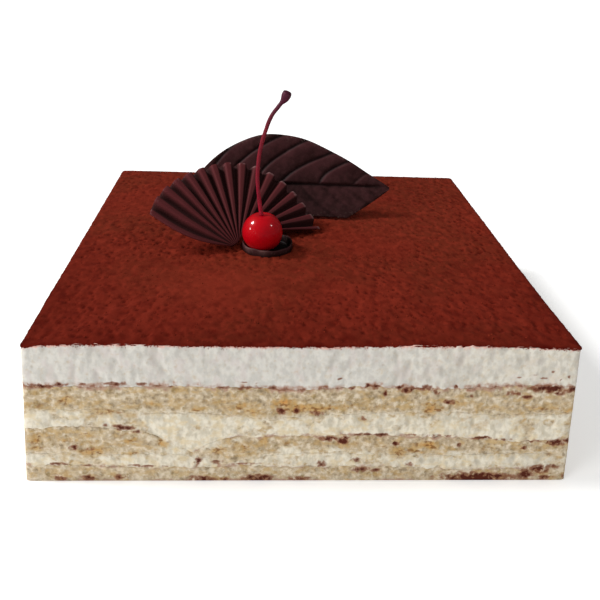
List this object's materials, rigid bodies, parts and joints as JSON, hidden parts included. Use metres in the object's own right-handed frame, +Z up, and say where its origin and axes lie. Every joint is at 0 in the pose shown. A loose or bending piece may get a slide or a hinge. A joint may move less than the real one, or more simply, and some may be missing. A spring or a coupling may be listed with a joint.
{
  "type": "tiramisu cake",
  "caption": "Square tiramisu cake of sponge and cream layers under cocoa, topped with a cherry in a chocolate dish, a pleated chocolate fan and a chocolate leaf.",
  "frame": {"origin": "centre of the cake's square base, on the surface it stands on", "axes": "+Z up through the layers, -Y out of the cut front face, +X to the right seen from the front"},
  "size_m": [0.2078, 0.205, 0.1316],
  "materials": {
    "sponge": "soft open crumb, soaked, matte",
    "cream": "mascarpone cream, finely pitted, matte",
    "cocoa": "fine clumped powder, fully matte",
    "chocolate": "dark chocolate, satin to glossy",
    "cherry_skin": "candied skin, very glossy",
    "stalk": "satin, dark at the tip"
  },
  "bodies": {
    "root": {"sponge_bottom": "sponge", "cream_lower": "cream", "sponge_middle": "sponge", "cream_middle": "cream", "sponge_upper": "sponge", "cream_top": "cream", "cocoa_dusting": "cocoa", "chocolate_dish": "chocolate", "chocolate_fan": "chocolate", "chocolate_leaf": "chocolate", "cherry": "cherry_skin", "cherry_stem": "stalk"}
  },
  "joints": []
}
